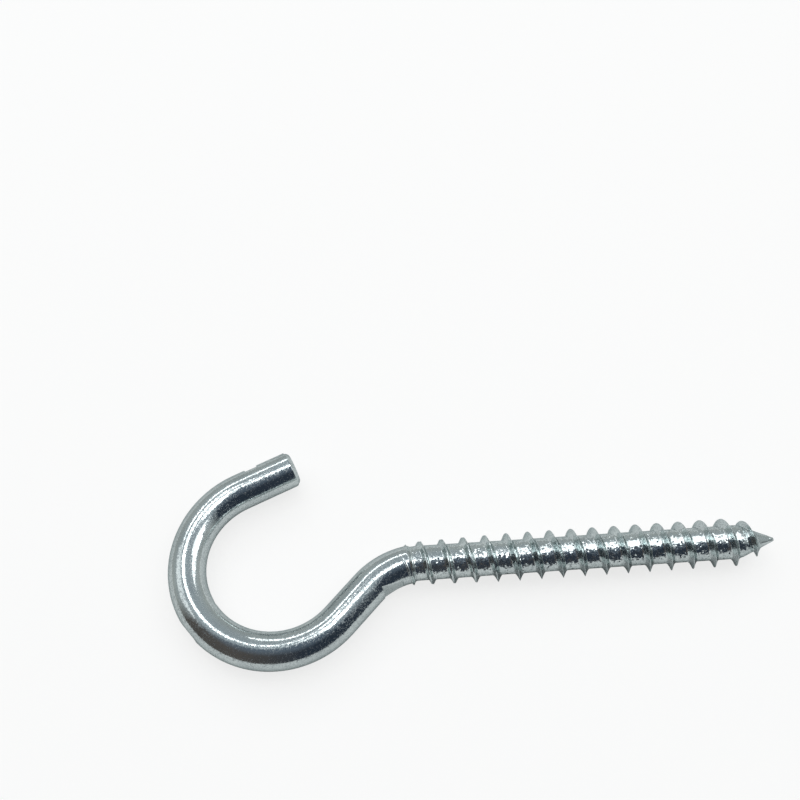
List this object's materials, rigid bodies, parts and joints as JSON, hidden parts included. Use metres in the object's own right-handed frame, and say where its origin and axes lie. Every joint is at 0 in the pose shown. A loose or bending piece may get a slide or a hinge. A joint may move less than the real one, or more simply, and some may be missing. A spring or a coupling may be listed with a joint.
{
  "type": "screw hook",
  "caption": "Open screw hook bent from one zinc-plated steel wire: a round bowl with a square-cut free end, an offset neck and a straight shank with a coarse wood-screw thread and gimlet point.",
  "frame": {"origin": "on the shank's axis, at the plane where the thread begins", "axes": "+X along the shank towards the point, +Y on the side of the free end, +Z square to the plane of the hook, up as it lies flat"},
  "size_m": [0.0759, 0.0281, 0.006],
  "materials": {
    "zinc_plated_steel": "bright electroplated zinc with a clear blue passivate"
  },
  "bodies": {
    "root": {"screw_hook": "zinc_plated_steel"}
  },
  "joints": []
}
